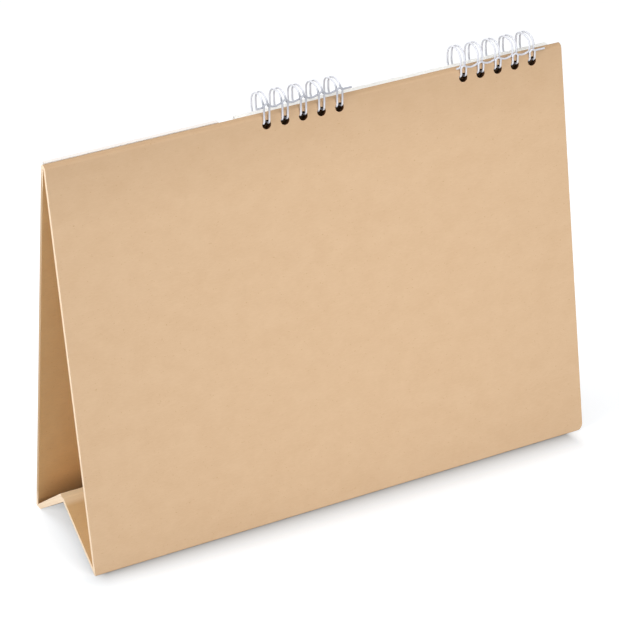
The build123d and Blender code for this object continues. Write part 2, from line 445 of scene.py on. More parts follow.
def base_shade(tree):
    """How much painted shade a point of the inner side takes on the base, which lies darker in the tent
    than the panels.
    """
    _, _, z, side = section_axes(tree)
    # The rear half lies over the front half's line by up to the board's thickness, 2.2 mm upright
    return node(
        tree, "ShaderNodeMapRange", (above_base(tree, side, z), *BASE_SHADE_END, BASE_SHADE_SHARE, 0.0))


def trough_shade(tree, share):
    """How deep a point of the inner side lies in the trough between the front panel and the base."""
    x, y, z, side = section_axes(tree)
    from_middle = node(tree, "ShaderNodeMath", [x], operation="ABSOLUTE")
    shade = node(tree, "ShaderNodeMapRange", (above_base(tree, side, z), *TROUGH_TOP, 1.0, 0.0))
    beside_foot = node(tree, "ShaderNodeMapRange", (side, *TROUGH_SIDE))
    # Some light comes in at the open ends
    end_start, end_full = (stand_high.x - distance for distance in TROUGH_END)
    away_from_ends = node(
        tree, "ShaderNodeMapRange", (from_middle, end_start, end_full, share, share * TROUGH_END_SHARE))
    in_front = node(tree, "ShaderNodeMath", (y, 0.0), operation="LESS_THAN")
    for limit in (beside_foot, away_from_ends, in_front):
        shade = node(tree, "ShaderNodeMath", (shade, limit), operation="MULTIPLY")
    return shade


def unbleached_liner(name, colour, dark_colour, light_colour, tones, trough_share):
    """Unbleached paper liner, formed on a wire and calendered: matt, cloudy, with long fibres."""
    material, tree, shader = new_material(name, colour)
    # Flocs of pulp, about 7 mm across, make the paper faintly cloudy
    clouds = fibre_texture(tree, 7 * MM, 9 * MM, 3.1, detail=2.0)
    # Fibres are 0.03 mm wide and 2 mm long; drawn 0.45 mm wide so that they show
    fibres = fibre_texture(tree, 0.45 * MM, 2.2 * MM, 7.7)
    # Bark specks and bleached fibres, sparse, 0.5 mm
    specks = fibre_texture(tree, 0.55 * MM, 0.9 * MM, 12.3, detail=1.0)
    shade = mottled(tree, clouds, 0.3, 0.72, 0.12, colour, dark_colour)
    shade = mottled(tree, fibres, 0.42, 0.72, 0.19, shade, light_colour)
    shade = mottled(tree, specks, 0.70, 0.78, 0.45, shade, dark_colour)
    # Painted shade: the base inside the tent is darkened towards the trough's colour
    if trough_share:
        shade = node(tree, "ShaderNodeMix", (base_shade(tree), shade, TROUGH_SHADE_COLOUR), data_type="RGBA")
    for low, high, tone, share, right_limit in tones:
        shade = toned_between(tree, shade, low, high, tone, share, right_limit)
    if trough_share:
        # No light reaches the bottom of the front trough, which the photo shows dark brown
        depth = trough_shade(tree, trough_share)
        shade = node(tree, "ShaderNodeMix", (depth, shade, TROUGH_SHADE_COLOUR), data_type="RGBA")
    connect(tree, shader, {
        "Base Color": shade,
        "Roughness": node(tree, "ShaderNodeMapRange", (fibres, 0.2, 0.8, 0.74, 0.88)),
        "IOR": 1.45,
        "Specular IOR Level": 0.35,
        "Normal": node(tree, "ShaderNodeBump", {
            "Height": fibres, "Strength": 0.35, "Distance": 0.04 * MM})})
    return material


def punched_rim(settings):
    """Board pressed and torn by a punch: rough, and darkened by painted shade, as deep in its hole."""
    material, tree, shader = new_material("shaded_punched_board", settings.depths_colour)
    # Torn fibres, 0.3 mm
    torn = fibre_texture(tree, 0.3 * MM, 0.3 * MM, 6.1)
    connect(tree, shader, {
        "Base Color": mottled(
            tree, torn, 0.4, 0.8, 0.3, settings.depths_colour, settings.liner_dark_colour),
        "Roughness": 0.95,
        "Specular IOR Level": 0.15,
        "Normal": node(tree, "ShaderNodeBump", {
            "Height": torn, "Strength": 0.5, "Distance": 0.05 * MM})})
    return material


def cut_board_core(settings):
    """Cream pulp core of pasted board, cut by a guillotine: matt, with the plies as fine lines."""
    material, tree, shader = new_material("cut_board_core", settings.core_colour)
    _, y, z, side = section_axes(tree)

    def depth_under(slope_y, slope_z, offset):
        """Depth under a face that leans in the section, from |y| and z."""
        along_y = node(tree, "ShaderNodeMath", (side, slope_y), operation="MULTIPLY")
        along_z = node(tree, "ShaderNodeMath", (z, slope_z, along_y), operation="MULTIPLY_ADD")
        return node(tree, "ShaderNodeMath", (along_z, offset), operation="ADD")

    in_panel = depth_under(-math.cos(lean), -math.sin(lean), HALF_DEPTH * math.cos(lean))
    in_base = depth_under(
        math.sin(base_slope), math.cos(base_slope),
        -(HALF_DEPTH - FOOT_FLAT_WIDTH) * math.sin(base_slope))
    past_panel = node(
        tree, "ShaderNodeMath", (in_panel, BOARD_THICKNESS * 1.05), operation="GREATER_THAN")
    depth = node(tree, "ShaderNodeMix", (past_panel, in_panel, in_base), data_type="FLOAT")
    # Five plies in 1.8 mm, uneven, so the lines are noise along the depth
    plies = node(tree, "ShaderNodeTexNoise", {
        "Vector": node(tree, "ShaderNodeCombineXYZ", [depth]),
        "Scale": BOARD_PLIES / BOARD_THICKNESS,
        "Detail": 1.0})
    # Pulp fibres are 0.03 mm wide; drawn as tufts of 0.5 mm so that they show
    pulp = fibre_texture(tree, 0.5 * MM, 0.5 * MM, 5.5)
    shade = mottled(tree, plies, 0.5, 0.68, 0.5, settings.core_colour, settings.core_dark_colour)
    shade = mottled(tree, pulp, 0.45, 0.75, 0.3, shade, settings.core_dark_colour)
    # Painted shade: the front panel's cut edge, though it faces the light as the others do, is darkened
    # towards a browner colour
    in_front = node(tree, "ShaderNodeMath", (y, -RIDGE_FOLD_RADIUS), operation="LESS_THAN")
    not_base = node(tree, "ShaderNodeMath", (1.0, past_panel), operation="SUBTRACT")
    over_foot = node(tree, "ShaderNodeMapRange", (z, *EDGE_SHADE_START, 0.0, EDGE_SHADE_SHARE))
    brown = node(tree, "ShaderNodeMath", (in_front, not_base), operation="MULTIPLY")
    brown = node(tree, "ShaderNodeMath", (brown, over_foot), operation="MULTIPLY")
    connect(tree, shader, {
        "Base Color": node(
            tree, "ShaderNodeMix", (brown, shade, settings.front_core_colour), data_type="RGBA"),
        "Roughness": 0.9,
        "Specular IOR Level": 0.25,
        "Normal": node(tree, "ShaderNodeBump", {
            "Height": pulp, "Strength": 0.4, "Distance": 0.05 * MM})})
    return material


def nylon_coated_wire(settings):
    """White nylon coating, baked on from powder over the wire: satin, with a faint orange peel."""
    material, tree, shader = new_material("white_nylon_coating", settings.coating_colour)
    # Orange peel of a powder coat, 0.5 mm
    peel = fibre_texture(tree, 0.5 * MM, 0.5 * MM, 2.2, detail=1.0)
    shade = mottled(
        tree, peel, 0.35, 0.75, 0.25, settings.coating_colour, darker(settings.coating_colour, 0.9))
    # Painted shade greys the coating on the seam's bars and crowns
    pressed = node(tree, "ShaderNodeAttribute", attribute_name=SEAM_SHADE_ATTRIBUTE).outputs["Fac"]
    connect(tree, shader, {
        "Base Color": node(
            tree, "ShaderNodeMix", (pressed, shade, settings.seam_colour), data_type="RGBA"),
        "Roughness": 0.33,
        "IOR": 1.53,
        "Normal": node(tree, "ShaderNodeBump", {
            "Height": peel, "Strength": 0.15, "Distance": 0.03 * MM})})
    return material


def cut_steel(settings):
    """Bare steel where the wire was cropped: a dull sheared face with fine drag lines."""
    material, tree, shader = new_material("cropped_steel", settings.steel_colour)
    # Drag lines of the cutter, 0.1 mm apart
    drag = fibre_texture(tree, 0.1 * MM, 0.6 * MM, 9.4)
    connect(tree, shader, {
        "Base Color": settings.steel_colour,
        "Metallic": 1.0,
        "Roughness": node(tree, "ShaderNodeMapRange", (drag, 0.3, 0.7, 0.35, 0.6))})
    return material


def printing_paper(name, colour, roughness, tooth):
    """Bleached wood-free paper: matt, evenly formed, with a faint tooth from the felt."""
    material, tree, shader = new_material(name, colour)
    # Thicker and thinner places of the sheet, about 5 mm across
    clouds = fibre_texture(tree, 5 * MM, 6 * MM, 4.4, detail=2.0)
    # Felt marks are 0.2 mm; drawn 0.35 mm so that they show
    felt = fibre_texture(tree, 0.35 * MM, 0.45 * MM, 6.6)
    connect(tree, shader, {
        "Base Color": mottled(tree, clouds, 0.3, 0.75, 0.35, colour, darker(colour, 0.95)),
        "Roughness": node(
            tree, "ShaderNodeMapRange", (felt, 0.3, 0.7, roughness - 0.05, roughness + 0.05)),
        "IOR": 1.5,
        "Normal": node(tree, "ShaderNodeBump", {
            "Height": felt, "Strength": tooth, "Distance": 0.02 * MM})})
    return material


def printed_ink(name, colour):
    """Offset ink, dried into the paper: matt, slightly mottled where the paper took less of it."""
    material, tree, shader = new_material(name, colour)
    # Mottle of the ink, 0.5 mm
    mottle = fibre_texture(tree, 0.5 * MM, 0.7 * MM, 8.8)
    connect(tree, shader, {
        "Base Color": mottled(tree, mottle, 0.4, 0.8, 0.18, colour, PAPER_UNDER_INK),
        "Roughness": node(tree, "ShaderNodeMapRange", (mottle, 0.3, 0.7, 0.5, 0.6))})
    return material


def chipboard(settings):
    """Grey chipboard of recycled pulp: matt, with coarse flecks."""
    material, tree, shader = new_material("recycled_chipboard", settings.backing_colour)
    # Flecks of waste paper, 0.6 by 1.2 mm
    flecks = fibre_texture(tree, 0.6 * MM, 1.2 * MM, 1.7)
    connect(tree, shader, {
        "Base Color": mottled(
            tree, flecks, 0.4, 0.75, 0.5, settings.backing_colour, darker(settings.backing_colour, 0.75)),
        "Roughness": 0.9})
    return material


def padding_glue(settings):
    """Padding glue, brushed on and dried: a thin satin film with brush streaks."""
    material, tree, shader = new_material("dried_padding_glue", settings.glue_colour)
    # Streaks of the brush's hairs, 0.3 mm wide and 8 mm long
    streaks = fibre_texture(tree, 0.3 * MM, 8 * MM, 3.9)
    connect(tree, shader, {
        "Base Color": mottled(
            tree, streaks, 0.35, 0.75, 0.4, settings.glue_colour, darker(settings.glue_colour, 0.9)),
        "Roughness": 0.45,
        "Normal": node(tree, "ShaderNodeBump", {
            "Height": streaks, "Strength": 0.4, "Distance": 0.05 * MM})})
    return material


def camera_sees(tree):
    """1 where the camera looks straight at a surface, or through glass or a reflection at it."""
    rays = node(tree, "ShaderNodeLightPath").outputs
    seen = rays["Is Camera Ray"]
    for name in ("Is Glossy Ray", "Is Transmission Ray"):
        seen = node(tree, "ShaderNodeMath", (seen, rays[name]), operation="MAXIMUM")
    return seen


def white_sweep(settings):
    """Matt white background paper, hung as a sweep: even, and burnt out to white away from the easel."""
    material, tree, shader = new_material("white_sweep", settings.floor_colour)
    place = node(tree, "ShaderNodeNewGeometry").outputs["Position"]
    x, y, _ = node(tree, "ShaderNodeSeparateXYZ", [place]).outputs
    glow_edge = node(tree, "ShaderNodeMapRange", (
        y, -HALF_DEPTH, HALF_DEPTH, stand_high.x - settings.glow_inset_front,
        stand_high.x - settings.glow_inset_back))
    past_open_end = node(tree, "ShaderNodeMath", (x, glow_edge), operation="SUBTRACT")
    # The glow rises three times as fast past the other end, where the photo shows no shadow
    other_edge = stand_low.x + settings.glow_inset_far
    past_other_end = node(tree, "ShaderNodeMapRange", (
        x, other_edge, other_edge - FAR_GLOW_SPAN, 0.0, FAR_GLOW_RATE * FAR_GLOW_SPAN))
    past_end = node(tree, "ShaderNodeMath", (past_open_end, past_other_end), operation="MAXIMUM")
    side = node(tree, "ShaderNodeMath", [y], operation="ABSOLUTE")
    past_foot = node(tree, "ShaderNodeMath", (side, stand_high.y), operation="SUBTRACT")
    beyond = node(tree, "ShaderNodeCombineXYZ", (past_end, past_foot))
    beyond = node(tree, "ShaderNodeVectorMath", (beyond, (0, 0, 0)), operation="MAXIMUM")
    distance = node(tree, "ShaderNodeVectorMath", [beyond], operation="LENGTH")
    # The easel keeps its contact shadow, so the glow rises with the distance from it
    decay = node(tree, "ShaderNodeMath", (distance, -1 / settings.glow_reach), operation="MULTIPLY")
    decay = node(tree, "ShaderNodeMath", [decay], operation="EXPONENT")
    open_share = node(tree, "ShaderNodeMath", (1.0, decay), operation="SUBTRACT")
    seen = node(tree, "ShaderNodeMath", (camera_sees(tree), open_share), operation="MULTIPLY")
    connect(tree, shader, {
        "Base Color": settings.floor_colour,
        "Roughness": 0.9,
        "Emission Color": (1, 1, 1, 1),
        "Emission Strength": node(
            tree, "ShaderNodeMath", (seen, settings.floor_glow), operation="MULTIPLY")})
    return material


# Meshes

def in_scene(name, data):
    """An object for a mesh, lamp or camera, linked to the scene."""
    made = bpy.data.objects.new(name, data)
    bpy.context.scene.collection.objects.link(made)
    return made


def new_piece(name, verts, faces, materials, smooth=True):
    """A mesh object made from points and faces, linked to the scene."""
    mesh = bpy.data.meshes.new(name)
    mesh.from_pydata([tuple(v) for v in verts], [], faces)
    for material in materials:
        mesh.materials.append(material)
    mesh.polygons.foreach_set("use_smooth", [smooth] * len(mesh.polygons))
    mesh.update()
    return in_scene(name, mesh)


def sharpen(piece, angle=math.radians(30)):
    """Marks the edges that turn by more than an angle as sharp."""
    piece.data.set_sharp_from_angle(angle=angle)


def settle(piece, body, material_slot, *replaced):
    """Gives a piece its body and hides the nodes that it stands for."""
    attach(piece, body)
    if replaced:
        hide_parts(*replaced)


def flat_sheet(left, right, bottom, top, step, holes=(), hole_radius=0.0):
    """Triangles of a flat rectangle, with or without round holes; its points and faces in (x, up)."""
    across = max(1, round((right - left) / step))
    down = max(1, round((top - bottom) / step))
    # Points of the grid keep clear of the rims, so that no triangle there is a sliver
    clear_radius = hole_radius * 1.4
    points = []
    for i in range(across + 1):
        for j in range(down + 1):
            x = left + (right - left) * i / across
            up = bottom + (top - bottom) * j / down
            if all(math.hypot(x - hx, up - hy) > clear_radius for hx, hy in holes):
                points.append(Vector((x, up)))
    rim_edges = []
    hole_sides = 20
    for hx, hy in holes:
        first = len(points)
        for k in range(hole_sides):
            angle = 2 * math.pi * k / hole_sides
            points.append(Vector((hx + hole_radius * math.cos(angle), hy + hole_radius * math.sin(angle))))
            rim_edges.append((first + k, first + (k + 1) % hole_sides))
    verts, _, faces, _, _, _ = delaunay_2d_cdt(points, rim_edges, [], 0, 1e-9)
    kept = []
    punched_radius = hole_radius * 0.97
    for face in faces:
        centre = sum((verts[i] for i in face), Vector((0, 0))) / len(face)
        if all(math.hypot(centre.x - hx, centre.y - hy) > punched_radius for hx, hy in holes):
            kept.append(tuple(face))
    return verts, kept


def thicken(points, faces, back_of, front_of):
    """A closed solid from a flat triangulation; two functions place the points of its back and front."""
    count = len(points)
    verts = [front_of(p) for p in points] + [back_of(p) for p in points]
    solid = list(faces) + [tuple(i + count for i in reversed(f)) for f in faces]
    directed = {(f[i], f[(i + 1) % len(f)]) for f in faces for i in range(len(f))}
    for a, b in sorted(directed):
        if (b, a) not in directed:
            solid.append((b, a, a + count, b + count))
    return verts, solid


def append_solid(verts, faces, more):
    """Adds a solid to lists of points and faces."""
    start = len(verts)
    verts.extend(more[0])
    faces.extend(tuple(i + start for i in f) for f in more[1])


# Ink is drawn this thick, and this far off the paper, so that the two faces don't mix
INK_THICKNESS = 0.02 * MM
INK_STANDOFF = 0.01 * MM


def strip_solid(surface, left, right, bottom, top, step):
    """A thin closed strip of ink on a surface, divided so that it follows the surface's curl."""
    points, faces = flat_sheet(left, right, bottom, top, step)
    return thicken(
        points, faces,
        lambda p: surface(p.x, p.y, 0.0),
        lambda p: surface(p.x, p.y, INK_THICKNESS))


def number_solid(surface, text, size, x, up):
    """Plain figures as a thin closed solid of ink on a surface."""
    curve = bpy.data.curves.new("figures", "FONT")
    curve.body = text
    curve.size = size
    curve.resolution_u = 3
    curve.extrude = INK_THICKNESS / 2
    shaped = bpy.data.objects.new("figures", curve)
    mesh = bpy.data.meshes.new_from_object(shaped)
    verts = [surface(x + v.co.x, up + v.co.y, v.co.z + INK_THICKNESS / 2) for v in mesh.vertices]
    faces = [tuple(f.vertices) for f in mesh.polygons]
    bpy.data.meshes.remove(mesh)
    bpy.data.objects.remove(shaped)
    bpy.data.curves.remove(curve)
    return verts, faces


# How far the middle of a leaf's lower edge lifts, beside its corners
MIDDLE_LIFT = 0.45


def on_leaf(left, right, bottom, top, out, curl):
    """Places a point on a leaf that lifts towards its lower corners."""
    middle = (left + right) / 2
    half = (right - left) / 2

    def place(x, up, height):
        down_share = min(1.0, max(0.0, (top - up) / (top - bottom)))
        side_share = abs(x - middle) / half
        lift = curl * down_share ** 3 * (MIDDLE_LIFT + (1 - MIDDLE_LIFT) * side_share ** 2)
        return on_front(x, up, out + height + lift)

    return place


OUTER_LINER, CUT_END, INNER_LINER, HOLE_RIM = range(4)
# Faces this close under the ridge's top and smaller than this are rims of binding holes
RIM_ZONE = 9 * MM
RIM_FACE_AREA = 4 * MM * MM


def board_slot(centre, normal, area):
    """The material slot of a face of the board: its outer side, a cut end, the tent's inside or a rim."""
    if abs(normal.x) > 0.9 and abs(centre.x) > stand_high.x - BOARD_THICKNESS:
        return CUT_END
    if centre.z > stand_height - RIM_ZONE and area < RIM_FACE_AREA:
        return HOLE_RIM
    # A point just in front of the face is either in the open tent or outside the board
    ahead = centre + normal * MM
    outer_y = (stand_height - ahead.z) * math.tan(lean) + face_y_at_ridge
    inner_y = outer_y - BOARD_THICKNESS / math.cos(lean)
    base_height = (HALF_DEPTH - FOOT_FLAT_WIDTH - abs(ahead.y)) * math.tan(base_slope)
    return INNER_LINER if abs(ahead.y) < inner_y and ahead.z > base_height else OUTER_LINER


class DESKCAL_OT_board(bpy.types.Operator):
    """Make the folded board easel, with its liner and its cut edges"""
    bl_idname = "deskcal.board"
    bl_label = "Folded Board Easel"

    def execute(self, context):
        settings = context.scene.desk_calendar.board
        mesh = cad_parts["stand"].data.copy()
        shape = bmesh.new()
        shape.from_mesh(mesh)
        bmesh.ops.remove_doubles(shape, verts=shape.verts, dist=0.001 * MM)
        bmesh.ops.dissolve_limit(
            shape, angle_limit=math.radians(0.2), verts=shape.verts, edges=shape.edges)
        shape.to_mesh(mesh)
        shape.free()
        ridge = stand_height
        base_ridge = BASE_RIDGE_HEIGHT
        whole_length = stand_high.x + MM
        # Painted shade darkens the liner towards the ridge, and once more on the fold itself
        outer_tones = (
            (ridge - 30 * MM, ridge - 2 * MM, settings.fold_colour, 0.17, whole_length),
            (ridge - 1.2 * MM, ridge - 0.3 * MM, settings.fold_colour, 0.38, whole_length))
        # Inside, the base's fold is paler, and painted shade darkens the closed ridge but for its last 60
        # mm, where light comes in at the open end
        lit_end = stand_high.x - 60 * MM
        inner_tones = (
            (base_ridge - 2.6 * MM, base_ridge - 1.2 * MM, settings.base_fold_colour, 0.8, whole_length),
            (ridge - 16 * MM, ridge - 11 * MM, settings.depths_colour, 0.85, lit_end))
        mesh.materials.clear()
        # In the order of the slots that board_slot gives
        mesh.materials.append(unbleached_liner(
            "unbleached_paper_liner", settings.liner_colour, settings.liner_dark_colour,
            settings.liner_light_colour, outer_tones, 0.0))
        mesh.materials.append(cut_board_core(settings))
        mesh.materials.append(unbleached_liner(
            "unbleached_inner_liner", settings.inside_colour, settings.inside_dark_colour,
            settings.liner_colour, inner_tones, 0.8))
        mesh.materials.append(punched_rim(settings))
        board = in_scene("folded_board", mesh)
        for polygon in mesh.polygons:
            polygon.material_index = board_slot(polygon.center, polygon.normal, polygon.area)
            polygon.use_smooth = True
        sharpen(board)
        settle(board, "easel", "brown_board", "stand")
        return {"FINISHED"}


def arc(centre, radius, start, end, steps):
    """Points along an arc without its first one; angles in degrees."""
    angles = [math.radians(start + (end - start) * i / steps) for i in range(1, steps + 1)]
    return [(centre[0] + radius * math.cos(a), centre[1] + radius * math.sin(a)) for a in angles]


# How far the first loop is pressed down, beside the last one
FIRST_DROOP = 0.3
# Steps in which the bends of the wires are drawn
LOOP_STEPS = 30
FRONT_CORNER_STEPS = 14
BACK_CORNER_STEPS = 9
BAR_BEND_STEPS = 8
CROWN_STEPS = 16
BAR_STEPS = 6


def wire_route(settings, low, high, start_length, seam_height, crown_rise):
    """Centre line of a bent wire inside its node's box: bars along the seam and a hairpin at each hole.

    The loops are pressed down a little more from one finger to the next, as handling leaves them.
    """
    radius = settings.diameter / 2
    near_y = high.y - radius
    far_y = low.y + radius
    top = high.z - radius
    bottom = low.z + radius
    loop_radius = (near_y - far_y) / 2
    centre = ((near_y + far_y) / 2, top - loop_radius)
    bar_y = near_y - settings.root_inset
    start_height = seam_height + settings.bar_bend_radius
    crown_height = seam_height + crown_rise - settings.crown_half_width
    leg = [(settings.root_half_width, bar_y, start_height)]
    if start_height < centre[1]:
        leg.append((settings.root_half_width, bar_y, centre[1]))
    for step in range(1, LOOP_STEPS + 1):
        share = step / LOOP_STEPS
        angle = math.pi * share
        reach = loop_radius - settings.root_inset * max(0.0, 1 - 2 * share)
        y = centre[0] + reach * math.cos(angle)
        z = centre[1] + loop_radius * math.sin(angle)
        if z > start_height or y < centre[0]:
            leg.append((settings.root_half_width, y, z))
    far = settings.far_corner_radius
    near = settings.near_corner_radius
    leg.append((settings.root_half_width, far_y, bottom + far))
    for y, z in arc((far_y + far, bottom + far), far, 180, 270, FRONT_CORNER_STEPS):
        leg.append((settings.root_half_width, y, z))
    near_bottom = bottom + settings.near_lift
    leg.append((settings.hole_half_width, near_y - near, near_bottom))
    for y, z in arc((near_y - near, near_bottom + near), near, 270, 360, BACK_CORNER_STEPS):
        leg.append((settings.hole_half_width, y, z))
    leg.append((settings.crown_half_width, near_y, crown_height))

    first_x = high.x - start_length
    reach = settings.root_half_width + settings.bar_bend_radius
    route = [(high.x, bar_y, seam_height)]
    for finger in range(settings.fingers):
        hole_x = first_x - finger * settings.pitch
        droop = settings.loop_droop * (
            FIRST_DROOP + (1 - FIRST_DROOP) * finger / (settings.fingers - 1))

        def pressed(z):
            """A height over the ridge, lowered by the droop of this loop."""
            return z - droop * max(0.0, (z - stand_height) / (top - stand_height)) ** 2

        bend = arc(
            (hole_x + reach, start_height), settings.bar_bend_radius, 270, 180, BAR_BEND_STEPS)
        route.append((hole_x + reach, bar_y, seam_height))
        route += [(x, bar_y, z) for x, z in bend[:-1]]
        route += [(hole_x + half, y, pressed(z)) for half, y, z in leg]
        crown = arc((hole_x, crown_height), settings.crown_half_width, 0, 180, CROWN_STEPS)
        route += [(x, near_y, pressed(z)) for x, z in crown[:-1]]
        route += [(hole_x - half, y, pressed(z)) for half, y, z in reversed(leg)]
        route += [(2 * hole_x - x, bar_y, z) for x, z in reversed(bend[:-1])]
        route.append((hole_x - reach, bar_y, seam_height))
        bar_length = settings.pitch - 2 * reach
        if finger < settings.fingers - 1:
            for step in range(1, BAR_STEPS):
                share = step / BAR_STEPS
                dip = settings.bar_dip * math.sin(math.pi * share)
                route.append((hole_x - reach - bar_length * share, bar_y, seam_height - dip))
    route.append((low.x, bar_y, seam_height))
    return route


# Painted shade on the seam reaches this far over the crowns and under the bars, and fades out in this
# length
SEAM_OVER_CROWNS = 0.5 * MM
SEAM_UNDER_BARS = 0.2 * MM
SEAM_FADE = 0.8 * MM


def seam_share(settings, place, near_y, seam_height, crown_rise):
    """1 for a point on the bars or crowns of a wire's seam, fading to 0 away from them."""
    above = place.z - (seam_height + crown_rise + SEAM_OVER_CROWNS)
    below = seam_height - settings.bar_dip - SEAM_UNDER_BARS - place.z
    before = near_y - settings.root_inset - settings.diameter - place.y
    return min(1.0, max(0.0, 1 - max(above, below, before, 0.0) / SEAM_FADE))


def tube(name, route, radius, materials):
    """A round tube with flat ends along a route, with a material for its side and one for its ends."""
    curve = bpy.data.curves.new(name, "CURVE")
    curve.dimensions = "3D"
    curve.bevel_depth = radius
    curve.bevel_resolution = 2
    curve.use_fill_caps = True
    spline = curve.splines.new("POLY")
    spline.points.add(len(route) - 1)
    spline.points.foreach_set("co", [c for point in route for c in (*point, 1.0)])
    shaped = bpy.data.objects.new(name + "_route", curve)
    mesh = bpy.data.meshes.new_from_object(shaped)
    bpy.data.objects.remove(shaped)
    bpy.data.curves.remove(curve)
    mesh.name = name
    mesh.materials.clear()
    for material in materials:
        mesh.materials.append(material)
    # The sides are quads, and the two flat ends have more corners
    for polygon in mesh.polygons:
        polygon.use_smooth = True
        polygon.material_index = 1 if len(polygon.vertices) > 4 else 0
    piece = in_scene(name, mesh)
    sharpen(piece, math.radians(50))
    return piece


class DESKCAL_OT_wires(bpy.types.Operator):
    """Make the two white twin-loop wires"""
    bl_idname = "deskcal.wires"
    bl_label = "Binding Wires"

    def execute(self, context):
        settings = context.scene.desk_calendar.wires
        materials = [nylon_coated_wire(settings), cut_steel(settings)]
        bends = {
            "inner_binding_wire": (
                settings.inner_start, settings.inner_seam_rise, settings.inner_crown_rise, 1.0),
            "outer_binding_wire": (
                settings.outer_start, settings.outer_seam_rise, settings.outer_crown_rise,
                settings.outer_greying),
        }
        for name, (start_length, seam_rise, crown_rise, shade_weight) in bends.items():
            low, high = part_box(name)
            seam_height = stand_height + seam_rise
            route = wire_route(settings, low, high, start_length, seam_height, crown_rise)
            wire = tube(name.replace("binding", "coated"), route, settings.diameter / 2, materials)
            # Painted shade along each wire's seam, kept in an attribute
            shares = wire.data.attributes.new(SEAM_SHADE_ATTRIBUTE, "FLOAT", "POINT")
            shares.data.foreach_set("value", [
                shade_weight * seam_share(settings, v.co, high.y, seam_height, crown_rise)
                for v in wire.data.vertices])
            settle(wire, "easel", "white_coated_wire", name)
        return {"FINISHED"}


# The sheets' play on the wires, their gaps to the solid's sides and top, and their mesh's step
SHEET_SLIP = 0.12 * MM
SHEET_SIDE_GAP = 0.15 * MM
SHEET_TOP_GAP = 0.02 * MM
SHEET_STEP = 9 * MM
# The leaves' uneven edges, the gap under each, the share of their pitch they fill, and their step
LEAF_INSET_LEAST = 0.05 * MM
LEAF_INSET_MOST = 0.3 * MM
LEAF_TOP_GAP = 0.06 * MM
LEAF_GAP = 0.01 * MM
LEAF_SHARE = 0.85
LEAF_STEP = 11 * MM


def top_up(high_corner, out):
    """How far up the front panel's slope a block's top lies, from the ridge's level; out is its front."""
    return (high_corner.z - stand_height) / math.cos(lean) - out * math.tan(lean)


def bottom_up(low_corner, out):
    """How far up the front panel's slope a block's bottom lies; out is its back."""
    return (low_corner.z - stand_height - out * math.sin(lean)) / math.cos(lean)


class DESKCAL_OT_calendar_sheets(bpy.types.Operator):
    """Make the punched calendar sheets"""
    bl_idname = "deskcal.calendar_sheets"
    bl_label = "Calendar Sheets"

    def execute(self, context):
        settings = context.scene.desk_calendar.calendar
        wires = context.scene.desk_calendar.wires
        top = top_up(calendar_high, CALENDAR_CLEARANCE + CALENDAR_THICKNESS)
        bottom = bottom_up(calendar_low, settings.clearance)
        first_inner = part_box("inner_binding_wire")[1].x - wires.inner_start
        first_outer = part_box("outer_binding_wire")[1].x - wires.outer_start
        hole_row = [
            first - i * wires.pitch for first in (first_inner, first_outer) for i in range(wires.fingers)]
        holes = [(x, top - settings.hole_drop) for x in hole_row]
        pitch = CALENDAR_THICKNESS / settings.sheets
        draws = random.Random(4)
        verts = []
        faces = []
        for sheet in range(settings.sheets):
            slip = draws.uniform(-SHEET_SLIP, SHEET_SLIP)
            sag = draws.uniform(0.0, SHEET_SLIP)
            out = settings.clearance + sheet * pitch
            curl = settings.curl * (sheet / (settings.sheets - 1)) ** 1.5
            place = on_leaf(calendar_low.x, calendar_high.x, bottom, top, out, curl)
            points, flat = flat_sheet(
                calendar_low.x + SHEET_SIDE_GAP, calendar_high.x - SHEET_SIDE_GAP,
                bottom + SHEET_SIDE_GAP, top - SHEET_TOP_GAP, SHEET_STEP, holes,
                settings.hole_diameter / 2)
            append_solid(verts, faces, thicken(
                points, flat,
                lambda p: place(p.x + slip, p.y - sag, 0.0),
                lambda p: place(p.x + slip, p.y - sag, settings.sheet_thickness)))
        paper = printing_paper("coated_printing_paper", settings.paper_colour, 0.55, 0.15)
        sheets = new_piece("calendar_sheets", verts, faces, [paper])
        sharpen(sheets)
        settle(sheets, "calendar", "calendar_paper", "calendar_pad")
        return {"FINISHED"}


# Layout of the front sheet's print
PRINT_MARGIN = 9 * MM
HEADER_DROP = 13 * MM
HEADER_HEIGHT = 34 * MM
GRID_DROP = 12 * MM
GRID_FOOT = 8 * MM
GRID_COLUMNS = 7
GRID_ROWS = 5
GRID_RULE_WIDTH = 0.28 * MM
CELL_INDENT = 1.2 * MM
COLUMN_MARK_LENGTH = 7 * MM
COLUMN_MARK_RISE = 2.6 * MM
COLUMN_MARK_WIDTH = 1.4 * MM
FIGURE_SIZE = 5.2 * MM
FIGURE_DROP = 5.4 * MM
PRINT_STEP = 6 * MM


